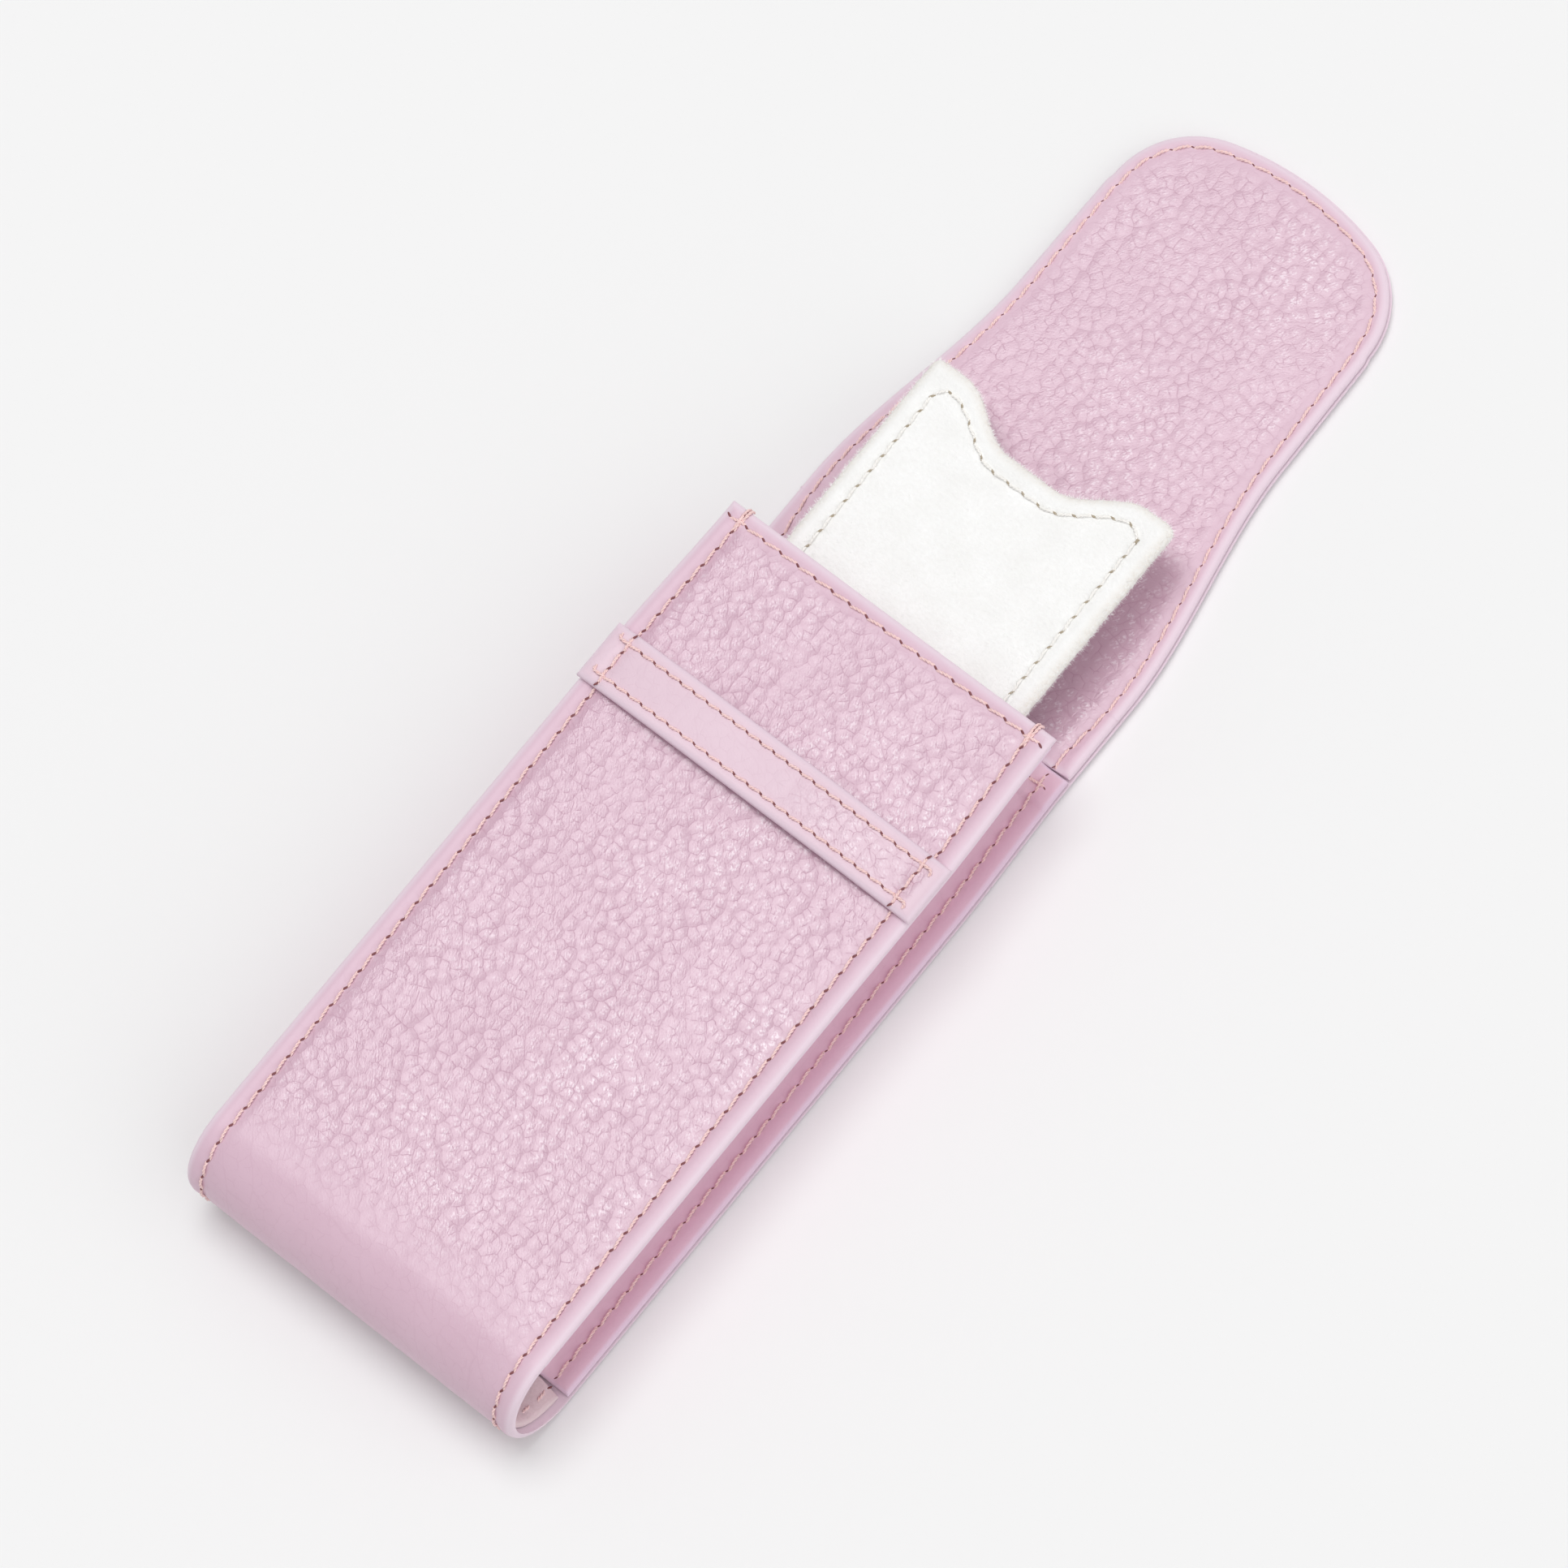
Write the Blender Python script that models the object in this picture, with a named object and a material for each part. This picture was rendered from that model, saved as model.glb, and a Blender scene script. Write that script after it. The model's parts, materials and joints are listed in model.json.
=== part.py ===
"""Leather watch pouch with an inward folding gusset on each side, a keeper strap, a folding flap
and a suede covered divider. It lies on its back with the flap open, in metres.
X runs across the pouch, Y runs from the bottom bend to the flap's tip, and Z points up."""

import math

import bmesh
import bpy
from mathutils import Vector

# Pouch body
body_length = 0.137
body_width = 0.068
body_depth = 0.0215
mouth_narrowing = 0.0016
mouth_taper_length = 0.030
leather_thickness = 0.0013
layer_gap = 0.0003
fold_gap = 0.0003
panel_edge_radius = 0.0004

# Inner layers
board_thickness = 0.0006
board_end_margin = 0.0040
board_corner_radius = 0.0030
lining_thickness = 0.0007
lining_bend_margin = 0.0014
facing_depth = 0.0180

# Gussets
gusset_thickness = 0.0011
gusset_edge_margin = 0.0007
gusset_flange_width = 0.0048
gusset_fold_depth = 0.0079
gusset_crease_radius = 0.0003
gusset_top_setback = 0.0015
gusset_hem_height = 0.0060
gusset_hem_growth = 0.0004
gusset_bend_clearance = 0.0004

# Keeper strap
strap_width = 0.0107
strap_top_setback = 0.0268
strap_thickness = 0.0011
strap_lining_thickness = 0.0005
strap_lift = 0.0012
strap_overhang = 0.0004
strap_lining_margin = 0.0005
strap_edge_radius = 0.0003
strap_arch_power = 4

# Flap
flap_reach = 0.0993
flap_tongue_width = 0.0544
flap_tip_width = 0.0530
flap_straight_length = 0.0140
flap_waist_reach = 0.0600
flap_corner_radius = 0.0160
flap_crown_radius = 0.0560
flap_edge_radius = 0.0004
flap_strap_clearance = 0.0005
facing_inset = 0.0003

# Divider
divider_length = 0.0970
divider_reach = 0.0388
divider_seat_rise = 0.0023
divider_stop_clearance = 0.0005
suede_thickness = 0.0007
divider_board_thickness = 0.0005
divider_board_inset = 0.0022
divider_corner_radius = 0.0012
divider_foot_radius = 0.0060
notch_shoulder_width = 0.0060
notch_floor_share = 0.27
notch_depth = 0.0062

# Smoothness of curves, as counts of straight pieces
bend_steps = 20
curve_steps = 14
corner_steps = 6
strap_steps = 24
taper_steps = 6

# The outside of the closed pouch and of the open flap together, centred on the origin
overall_length = body_length + flap_reach
bottom_y = -overall_length / 2
mouth_y = bottom_y + body_length
panel_top_y = mouth_y - fold_gap / 2
bend_radius = body_depth / 2
bend_y = bottom_y + bend_radius
flap_thickness = 2 * leather_thickness + layer_gap
lining_depth = leather_thickness + board_thickness + 2 * layer_gap
wall_thickness = lining_depth + lining_thickness

# The gusset's section: a flange on each panel and a fold that points inwards
mouth_width = body_width - mouth_narrowing
flange_outer_x = mouth_width / 2 - gusset_edge_margin
flange_inner_x = flange_outer_x - gusset_flange_width
flange_z = leather_thickness + layer_gap + gusset_thickness / 2
fold_x = flange_outer_x - gusset_fold_depth
limb_run = flange_inner_x - fold_x
limb_rise = body_depth / 2 - flange_z
limb_half_thickness_x = gusset_thickness / 2 * math.hypot(limb_run, limb_rise) / limb_rise
lining_half_width = flange_inner_x - 2 * limb_half_thickness_x - layer_gap

# The divider's edges lie on the sloping upper halves of both gussets
divider_thickness = 2 * suede_thickness + divider_board_thickness + 2 * layer_gap
divider_z = body_depth / 2 + divider_seat_rise
seat_x = fold_x + divider_seat_rise * limb_run / limb_rise
divider_half_width = seat_x - limb_half_thickness_x - layer_gap
divider_top_y = mouth_y + divider_reach
divider_foot_y = divider_top_y - divider_length

# How far the divider goes in before its foot meets the lining in the bottom bend
cavity_radius = bend_radius - wall_thickness
divider_top_offset = divider_z + divider_thickness - body_depth / 2
stop_y = bend_y - math.sqrt(cavity_radius**2 - divider_top_offset**2) + divider_stop_clearance
divider_travel = divider_foot_y - stop_y

# The flap's folds lie on its inner face, where the leather creases
strap_stack = strap_thickness + layer_gap + strap_lining_thickness
strap_top_z = body_depth + strap_lift + strap_stack
bridge_length = strap_top_z + flap_strap_clearance - flap_thickness
root_fold = Vector((0, mouth_y, flap_thickness))
tongue_fold = Vector((0, mouth_y + bridge_length, flap_thickness))


def clear_scene():
    for old in list(bpy.data.objects):
        bpy.data.objects.remove(old, do_unlink=True)


def material(name, colour, roughness):
    made = bpy.data.materials.new(name)
    made.use_nodes = True
    shader = made.node_tree.nodes["Principled BSDF"]
    shader.inputs["Base Color"].default_value = (*colour, 1)
    shader.inputs["Roughness"].default_value = roughness
    shader.inputs["Metallic"].default_value = 0
    return made


def empty(name, place):
    made = bpy.data.objects.new(name, None)
    made.location = place
    bpy.context.collection.objects.link(made)
    return made


def finish(name, bm, finish_material, parent=None, edge_radius=0):
    """Makes the object, places it by its parent's origin, and rounds its sharp edges."""
    bmesh.ops.recalc_face_normals(bm, faces=bm.faces)
    origin = parent.location if parent else Vector((0, 0, 0))
    bmesh.ops.translate(bm, verts=bm.verts, vec=-origin)
    mesh = bpy.data.meshes.new(name)
    bm.to_mesh(mesh)
    bm.free()
    mesh.materials.append(finish_material)
    made = bpy.data.objects.new(name, mesh)
    bpy.context.collection.objects.link(made)
    made.parent = parent
    if edge_radius:
        rounding = made.modifiers.new("rounded edges", "BEVEL")
        rounding.width = edge_radius
        rounding.segments = 2
        rounding.limit_method = "ANGLE"
        rounding.angle_limit = math.radians(50)
    mesh.shade_smooth()
    mesh.set_sharp_from_angle(angle=math.radians(35))
    return made


def smoothstep(share):
    share = min(max(share, 0), 1)
    return share * share * (3 - 2 * share)


def arc(centre, radius, start_deg, end_deg, steps):
    """Points on an arc in a plane, given by its centre, both ends included."""
    points = []
    for step in range(steps + 1):
        angle = math.radians(start_deg + (end_deg - start_deg) * step / steps)
        points.append((centre[0] + radius * math.cos(angle), centre[1] + radius * math.sin(angle)))
    return points


def plate(points, low_z, thickness):
    """A flat sheet: an outline in X and Y, extruded upwards."""
    bm = bmesh.new()
    outline = bm.faces.new([bm.verts.new((x, y, low_z)) for x, y in points])
    raised = bmesh.ops.extrude_face_region(bm, geom=[outline])["geom"]
    raised_points = [item for item in raised if isinstance(item, bmesh.types.BMVert)]
    bmesh.ops.translate(bm, verts=raised_points, vec=(0, 0, thickness))
    return bm


def offset_path(path, distance):
    """The path moved sideways, to its left, by this distance, with mitred corners."""
    moved = []
    for index, point in enumerate(path):
        here = Vector(point)
        before = Vector(path[max(index - 1, 0)])
        after = Vector(path[min(index + 1, len(path) - 1)])
        arriving = (here - before).normalized() if index else (after - here).normalized()
        leaving = (after - here).normalized() if index < len(path) - 1 else arriving
        normal = Vector((-(arriving + leaving).y, (arriving + leaving).x)).normalized()
        spread = normal.dot(Vector((-arriving.y, arriving.x)))
        moved.append(tuple(here + normal * distance / spread))
    return moved


def bent_sheet(path, section_at, place):
    """A sheet that follows a path. section_at(a, b) lists the corners of the sheet's section at a
    path point, each as a depth to the path's left and a place across it, and place(a, b, across)
    turns a point beside the path into a point in space."""
    bm = bmesh.new()
    paths_at_depth = {}
    rings = []
    for index, path_point in enumerate(path):
        ring = []
        for depth, across in section_at(*path_point):
            if depth not in paths_at_depth:
                paths_at_depth[depth] = offset_path(path, depth)
            ring.append(bm.verts.new(place(*paths_at_depth[depth][index], across)))
        rings.append(ring)
    bm.faces.new(rings[0])
    for ring, following in zip(rings, rings[1:]):
        for side in range(len(ring)):
            after = (side + 1) % len(ring)
            bm.faces.new((ring[side], ring[after], following[after], following[side]))
    bm.faces.new(reversed(rings[-1]))
    return bm


def plain_section(thickness, half_width):
    return [(0, -half_width), (0, half_width), (thickness, half_width), (thickness, -half_width)]


def along_pouch(y, z, across):
    return (across, y, z)


def body_half_width(y, _z):
    """The panels narrow a little towards the mouth."""
    share = smoothstep((mouth_y - y) / mouth_taper_length)
    return (mouth_width + (body_width - mouth_width) * share) / 2


def wrap_path(inset, front_top_y, back_top_y):
    """From the front panel's top, round the bottom bend and back along the back panel."""
    path = []
    for step in range(taper_steps):
        path.append((front_top_y - mouth_taper_length * step / taper_steps, body_depth - inset))
    path += arc((bend_y, bend_radius), bend_radius - inset, 90, 270, bend_steps)
    for step in range(taper_steps):
        path.append((back_top_y - mouth_taper_length * (1 - (step + 1) / taper_steps), inset))
    return path


def outer_wrap(leather):
    """One piece of leather is the front panel, the bottom bend and the back panel."""

    def section(y, z):
        return plain_section(leather_thickness, body_half_width(y, z))

    bm = bent_sheet(wrap_path(0, panel_top_y, panel_top_y), section, along_pouch)
    return finish("outer_wrap", bm, leather, edge_radius=panel_edge_radius)


def body_lining(suede):
    """Suede from the front panel's mouth, round the bend and up to the facing on the back."""
    side_half = lining_half_width
    bend_half = body_width / 2 - lining_bend_margin
    back_end_y = panel_top_y - facing_depth - layer_gap

    def section(y, _z):
        half_width = bend_half if y < bend_y - layer_gap / 2 else side_half
        return plain_section(lining_thickness, half_width)

    bm = bent_sheet(wrap_path(lining_depth, panel_top_y, back_end_y), section, along_pouch)
    return finish("body_lining", bm, suede)


def rounded_rectangle(low_x, low_y, high_x, high_y, radius):
    points = arc((high_x - radius, high_y - radius), radius, 0, 90, corner_steps)
    points += arc((low_x + radius, high_y - radius), radius, 90, 180, corner_steps)
    points += arc((low_x + radius, low_y + radius), radius, 180, 270, corner_steps)
    points += arc((high_x - radius, low_y + radius), radius, 270, 360, corner_steps)
    return points


def boards(card):
    """A stiff card lies behind the leather of each panel."""
    low_y = bend_y + board_end_margin
    high_y = mouth_y - board_end_margin
    depth = leather_thickness + layer_gap
    for name, low_z in (("back_board", depth), ("front_board", body_depth - depth - board_thickness)):
        points = rounded_rectangle(
            -lining_half_width, low_y, lining_half_width, high_y, board_corner_radius
        )
        finish(name, plate(points, low_z, board_thickness), card)


def mouth_facing(leather):
    """The flap's inner leather runs on into the mouth, over the back panel."""
    points = rounded_rectangle(
        -lining_half_width,
        panel_top_y - facing_depth,
        lining_half_width,
        panel_top_y,
        layer_gap,
    )
    return finish("mouth_facing", plate(points, lining_depth, lining_thickness), leather)


def gusset_path():
    """The gusset's hidden side, from the front panel's flange, round the fold, to the back's."""
    slope = math.degrees(math.atan2(limb_rise, limb_run))
    fold_radius = gusset_crease_radius + gusset_hem_growth + gusset_thickness / 2
    fold_centre = (fold_x + fold_radius / math.sin(math.radians(slope)), body_depth / 2)
    middle = [(flange_outer_x, body_depth - flange_z), (flange_inner_x, body_depth - flange_z)]
    middle += arc(fold_centre, fold_radius, 90 + slope, 270 - slope, corner_steps)
    middle += [(flange_inner_x, flange_z), (flange_outer_x, flange_z)]
    return offset_path(middle, -gusset_thickness / 2)


def gusset(side_name, mirror, leather):
    """A leather strip sewn to both panels and folded inwards, with a turned hem at the mouth."""
    high_y = mouth_y - gusset_top_setback
    low_y = bend_y + gusset_bend_clearance
    hem_y = high_y - gusset_hem_height
    hem_thickness = gusset_thickness + gusset_hem_growth

    def place(x, z, y):
        return (mirror * x, y, z)

    def section(_x, _z):
        return [
            (0, low_y),
            (0, high_y),
            (hem_thickness, high_y),
            (hem_thickness, hem_y),
            (gusset_thickness, hem_y),
            (gusset_thickness, low_y),
        ]

    return finish(f"{side_name}_gusset", bent_sheet(gusset_path(), section, place), leather)


def strap_underside(x):
    """How high the strap's underside stands over the floor: it lies down at both ends."""
    half = body_width / 2 + strap_overhang
    rise = strap_lift - layer_gap
    return body_depth + layer_gap + rise * (1 - abs(x / half) ** strap_arch_power)


def strap_layer(name, half_length, half_width, low, thickness, leather, edge_radius):
    """One layer of the strap, this far above its underside, arched from one side to the other."""
    middle_y = mouth_y - strap_top_setback - strap_width / 2
    path = []
    for step in range(strap_steps + 1):
        x = half_length * (1 - 2 * step / strap_steps)
        path.append((x, strap_underside(x) + low + thickness))

    def place(x, z, across):
        return (x, middle_y + across, z)

    def section(_x, _z):
        return plain_section(thickness, half_width)

    return finish(name, bent_sheet(path, section, place), leather, edge_radius=edge_radius)


def keeper_strap(leather):
    """The flap's tongue tucks under this strap, which is sewn into both side seams."""
    half_length = body_width / 2 + strap_overhang
    lining_half_length = half_length - strap_overhang - strap_lining_margin
    lining_half_width = strap_width / 2 - strap_lining_margin
    strap_low = strap_lining_thickness + layer_gap
    strap_layer(
        "keeper_strap_lining",
        lining_half_length,
        lining_half_width,
        0,
        strap_lining_thickness,
        leather,
        0,
    )
    strap_layer(
        "keeper_strap",
        half_length,
        strap_width / 2,
        strap_low,
        strap_thickness,
        leather,
        strap_edge_radius,
    )


def flap_half_width(reach):
    """Half the flap's width this far from the mouth: straight, then an S curve to the tongue."""
    waist_share = smoothstep((reach - flap_straight_length) / (flap_waist_reach - flap_straight_length))
    tip_share = (reach - flap_waist_reach) / (flap_reach - flap_waist_reach)
    narrowed = mouth_width + (flap_tongue_width - mouth_width) * waist_share
    if reach > flap_waist_reach:
        narrowed += (flap_tip_width - flap_tongue_width) * tip_share
    return narrowed / 2


def flap_tip_outline():
    """The right half of the rounded tip, from its side to the middle: a corner and a crown arc."""
    crown_centre_y = flap_reach - flap_crown_radius
    corner_x = flap_tip_width / 2 - flap_corner_radius
    reach_from_crown = flap_crown_radius - flap_corner_radius
    corner_y = crown_centre_y + math.sqrt(reach_from_crown**2 - corner_x**2)
    meeting = math.degrees(math.atan2(corner_y - crown_centre_y, corner_x))
    points = arc((corner_x, corner_y), flap_corner_radius, 0, meeting, curve_steps)
    points += arc((0, crown_centre_y), flap_crown_radius, meeting, 90, corner_steps)[1:]
    return points


def side_of_flap(low_reach, high_reach, steps, inset):
    points = []
    for step in range(steps + 1):
        reach = low_reach + (high_reach - low_reach) * step / steps
        points.append((flap_half_width(reach) - inset, mouth_y + reach))
    return points


def mirrored(right_side):
    return right_side + [(-x, y) for x, y in reversed(right_side) if x > layer_gap / 2]


def flap_pieces(bridge, tongue, leather):
    """Outer leather and facing of the flap: a bridge over the mouth, and the tongue."""
    layers = (("outer", 0, 0), ("facing", leather_thickness + layer_gap, facing_inset))
    tip = flap_tip_outline()
    for layer, low_z, inset in layers:
        right = side_of_flap(fold_gap / 2, bridge_length - fold_gap / 2, corner_steps, inset)
        bm = plate(mirrored(right), low_z, leather_thickness)
        finish(f"flap_bridge_{layer}", bm, leather, bridge)
        tip_low_reach = tip[0][1]
        right = side_of_flap(bridge_length + fold_gap / 2, tip_low_reach, curve_steps * 2, inset)
        shrink = (flap_tip_width / 2 - inset) / (flap_tip_width / 2)
        right += [(x * shrink, mouth_y + reach - inset) for x, reach in tip[1:]]
        bm = plate(mirrored(right), low_z, leather_thickness)
        finish(f"flap_tongue_{layer}", bm, leather, tongue, flap_edge_radius)


def divider_outline(inset):
    """A rectangle with rounded feet, and a scooped notch between two corners in its top edge."""
    half = divider_half_width - inset
    top = divider_top_y - inset
    foot_centre = (half - divider_foot_radius, divider_foot_y + inset + divider_foot_radius)
    corner_centre = (half - divider_corner_radius, top - divider_corner_radius)
    notch_half = divider_half_width - notch_shoulder_width
    floor_half = notch_half * notch_floor_share
    right = arc(foot_centre, divider_foot_radius, 270, 360, corner_steps)
    right += arc(corner_centre, divider_corner_radius, 0, 90, corner_steps)
    for step in range(curve_steps + 1):
        x = notch_half - (notch_half - floor_half) * step / curve_steps
        share = smoothstep((notch_half - x) / (notch_half - floor_half))
        right.append((x, top - notch_depth * share))
    return mirrored(right)


def divider_pieces(parent, suede, card):
    """A card between two suede faces, with a notch that clears a watch's buckle."""
    back_z = divider_z
    board_z = back_z + suede_thickness + layer_gap
    front_z = board_z + divider_board_thickness + layer_gap
    pieces = (
        ("divider_back_suede", back_z, suede_thickness, 0, suede),
        ("divider_board", board_z, divider_board_thickness, divider_board_inset, card),
        ("divider_front_suede", front_z, suede_thickness, 0, suede),
    )
    for name, low_z, thickness, inset, piece_material in pieces:
        finish(name, plate(divider_outline(inset), low_z, thickness), piece_material, parent)


def build():
    clear_scene()
    pink_leather = material("pink leather", (0.73, 0.50, 0.59), 0.45)
    gusset_leather = material("gusset leather", (0.62, 0.38, 0.46), 0.50)
    taupe_suede = material("taupe lining suede", (0.55, 0.45, 0.43), 0.9)
    white_suede = material("white divider suede", (0.90, 0.88, 0.85), 0.9)
    grey_card = material("grey card", (0.45, 0.44, 0.42), 0.8)

    outer_wrap(pink_leather)
    body_lining(taupe_suede)
    boards(grey_card)
    mouth_facing(pink_leather)
    gusset("right", 1, gusset_leather)
    gusset("left", -1, gusset_leather)
    keeper_strap(pink_leather)

    bridge = empty("root_fold_axis", root_fold)
    tongue = empty("tongue_fold_axis", tongue_fold)
    flap_pieces(bridge, tongue, pink_leather)

    divider_origin = empty("divider_slide_origin", Vector((0, divider_foot_y, divider_z)))
    divider_pieces(divider_origin, white_suede, grey_card)

    print("The flap folds at", tuple(root_fold), "and", tuple(tongue_fold))
    print("The divider goes in by", divider_travel)


build()
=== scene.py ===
"""The looks of a leather watch pouch that lies on its back with its flap open: embossed leather
sheets that are cut flat, stitched and bent, a suede lining and a loose suede covered divider."""

import bisect
import functools
import json
import math
import random

import bmesh
import bpy
from mathutils import Matrix, Vector, geometry, noise
from mathutils.kdtree import KDTree
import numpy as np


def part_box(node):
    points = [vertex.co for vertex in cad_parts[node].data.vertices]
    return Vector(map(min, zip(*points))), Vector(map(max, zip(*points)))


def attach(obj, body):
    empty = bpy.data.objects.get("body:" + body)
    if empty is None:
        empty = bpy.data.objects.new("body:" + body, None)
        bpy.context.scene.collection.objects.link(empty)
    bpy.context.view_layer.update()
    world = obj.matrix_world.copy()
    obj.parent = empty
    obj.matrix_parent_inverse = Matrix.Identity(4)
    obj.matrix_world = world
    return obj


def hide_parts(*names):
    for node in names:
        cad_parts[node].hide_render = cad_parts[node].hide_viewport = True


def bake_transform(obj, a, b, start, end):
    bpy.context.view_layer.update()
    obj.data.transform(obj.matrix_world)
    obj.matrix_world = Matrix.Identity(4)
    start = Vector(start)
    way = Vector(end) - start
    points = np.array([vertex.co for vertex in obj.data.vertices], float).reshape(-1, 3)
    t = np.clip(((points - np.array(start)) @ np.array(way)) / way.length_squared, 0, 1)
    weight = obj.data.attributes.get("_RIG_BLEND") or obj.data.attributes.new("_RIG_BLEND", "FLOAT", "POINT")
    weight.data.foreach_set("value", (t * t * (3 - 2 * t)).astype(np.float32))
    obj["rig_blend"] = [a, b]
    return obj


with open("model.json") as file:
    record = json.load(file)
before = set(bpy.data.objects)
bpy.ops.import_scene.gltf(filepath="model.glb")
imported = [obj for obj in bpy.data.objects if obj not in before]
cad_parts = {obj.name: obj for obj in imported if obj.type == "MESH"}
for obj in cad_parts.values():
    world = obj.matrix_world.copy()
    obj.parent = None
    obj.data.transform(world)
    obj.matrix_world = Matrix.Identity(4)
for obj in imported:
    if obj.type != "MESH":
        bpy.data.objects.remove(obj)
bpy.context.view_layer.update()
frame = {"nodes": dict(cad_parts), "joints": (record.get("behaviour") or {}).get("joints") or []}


# The outer leather
# One piece of pebble grained calf is the front panel, the bottom bend and the back panel, and
# runs on past the mouth as the outside of the flap. It is cut flat, embossed, stitched through
# along both sides and then bent round the bottom.
wrap_low, wrap_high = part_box("outer_wrap")
bridge_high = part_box("flap_bridge_outer")[1]
joints = {joint["name"]: joint for joint in frame["joints"]}
root_fold = Vector(joints["flap_root_fold"]["pos_m"])
tongue_fold = Vector(joints["flap_tongue_fold"]["pos_m"])
body_depth = wrap_high.z
body_half_width = wrap_high.x
mouth_half_width = bridge_high.x
mouth_y = root_fold.y
leather_thickness = bridge_high.z
bend_radius = body_depth / 2
bend_y = wrap_low.y + bend_radius
mouth_taper_length = 0.030
split_reach = (tongue_fold.y - root_fold.y) / 2
grid_pitch = 0.0005
bend_steps = 64
edge_crowding = 3
side_seam_inset = 0.0034
mouth_seam_inset = 0.0024
flap_seam_inset = 0.0024
seam_shift_length = 0.012
edge_roll = (0.0017, 0.00080)
border_puff = 0.00014
seam_groove_depth = 0.00022
seam_groove_width = 0.00090
waviness = 0.00012
wave_length = 0.016
sharp_angle_deg = 48


def smooth(share):
    share = min(max(share, 0), 1)
    return share * share * (3 - 2 * share)


def between(low, high, share):
    return low + (high - low) * share


def spaced(start, end, steps):
    return [start + (end - start) * step / steps for step in range(steps + 1)]


def arc(centre, radius, start_deg, end_deg, steps):
    points = []
    for turn_deg in spaced(start_deg, end_deg, steps):
        turn = math.radians(turn_deg)
        points.append((centre[0] + radius * math.cos(turn), centre[1] + radius * math.sin(turn)))
    return points


def follow(path, side):
    """The rule that lays a flat sheet along a drawn path, from a distance along the sheet and a
    height over it, and the path's length. Side 1 raises heights to the path's left."""
    lengths = [0.0]
    for start, end in zip(path, path[1:]):
        lengths.append(lengths[-1] + math.dist(start, end))
    normals = []
    for index in range(len(path)):
        before = Vector(path[max(index - 1, 0)])
        after = Vector(path[min(index + 1, len(path) - 1)])
        run = (after - before).normalized()
        normals.append(Vector((-run.y, run.x)) * side)

    def place(distance, height):
        index = min(max(bisect.bisect_right(lengths, distance) - 1, 0), len(path) - 2)
        share = (distance - lengths[index]) / (lengths[index + 1] - lengths[index])
        point = Vector(path[index]).lerp(Vector(path[index + 1]), share)
        bent_share = min(max(share, 0), 1)
        normal = normals[index].lerp(normals[index + 1], bent_share).normalized()
        return point + normal * height

    return place, lengths[-1]


def lengthways(path, side):
    """The same for a path drawn in the pouch's side view, with the sheet's bend in space."""
    place, length = follow(path, side)
    return lambda x, s, height: Vector((x, *place(s, height))), place, length


def laid(y, z, up=1):
    """The rule for a sheet that lies flat from this place on, face up or down."""
    return lambda x, s, height: Vector((x, y + s, z + up * height))


def crowded(share, steps):
    """Crowds evenly spaced shares from -1 to 1 together towards both ends."""

    def spent(inner):
        return inner - edge_crowding * (1 - math.exp(-inner / edge_crowding))

    return math.copysign(1 - spent((1 - abs(share)) * steps / 2) / spent(steps / 2), share)


def cut_out(width, length, outline, pitch):
    """A flat grid in the sheet's outline, which turns shares from -1 to 1 across and from 0 to 1
    along into a place."""
    columns, rows = round(width / pitch), round(length / pitch)
    bm = bmesh.new()
    row = bm.verts.layers.int.new("row")
    bmesh.ops.create_grid(bm, x_segments=columns, y_segments=rows, size=1)
    for vert in bm.verts:
        vert[row] = round((vert.co.y + 1) / 2 * rows)
        across = crowded(vert.co.x, columns)
        along = (crowded(vert.co.y, rows) + 1) / 2
        vert.co = (*outline(across, along), 0)
    return bm


def dense(line):
    """Close points along a line."""
    points = [line[0]]
    for start, end in zip(line, line[1:]):
        count = max(math.ceil(math.dist(start, end) / (grid_pitch / 8)), 1)
        for index in range(1, count + 1):
            points.append(tuple(Vector(start).lerp(Vector(end), index / count)))
    return points


def distance_to(points):
    """A rule for how far a place on the flat sheet is from the nearest of these points."""
    tree = KDTree(len(points))
    for index, point in enumerate(points):
        tree.insert((*point, 0), index)
    tree.balance()
    return lambda x, s: tree.find((x, s, 0))[2]


def at(rule, x, s):
    """What a rule gives at a place, or the plain number."""
    return rule(x, s) if callable(rule) else rule


grain_start = 0.0018
grain_fade = 0.0035
border_grain_share = 0.16


def open_edges(bm):
    return [edge for edge in bm.edges if edge.is_boundary]


def work_surface(bm, seams, split_at=-1, roll=edge_roll, grain_share=1, fade=grain_fade, rise=0):
    """Rolls the edges over, but not where the leather runs on as the next sheet, sinks the seams,
    and notes how far the grain shows at each point."""
    grain = bm.verts.layers.float.new("grain")
    border = bm.verts.layers.float.new("border")
    edge_points = []
    for edge in open_edges(bm):
        ends = [tuple(vert.co.xy) for vert in edge.verts]
        if all(abs(s - split_at) > grid_pitch / 4 for _, s in ends):
            edge_points += dense(ends)
    to_edge = distance_to(edge_points)
    to_seam = distance_to([point for seam in seams for point in dense(seam)]) if seams else None
    width, depth = roll
    for vert in bm.verts:
        x, s, _ = vert.co
        from_edge = to_edge(x, s)
        height = at(rise, x, s)
        if from_edge < width:
            height -= depth * (1 - math.sqrt(1 - (1 - from_edge / width) ** 2))
        if to_seam:
            height -= seam_groove_depth * math.exp(-((to_seam(x, s) / seam_groove_width) ** 2))
        height += border_puff * math.sin(math.pi * min(from_edge / side_seam_inset, 1))
        wave = noise.noise((x / wave_length, s / wave_length, 0))
        height += waviness * wave * smooth(from_edge / side_seam_inset)
        vert.co.z = height
        inside = smooth((from_edge - grain_start) / fade)
        vert[grain] = between(border_grain_share, 1, inside) * at(grain_share, x, s)
        vert[border] = 1 - smooth(from_edge / width)


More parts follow.
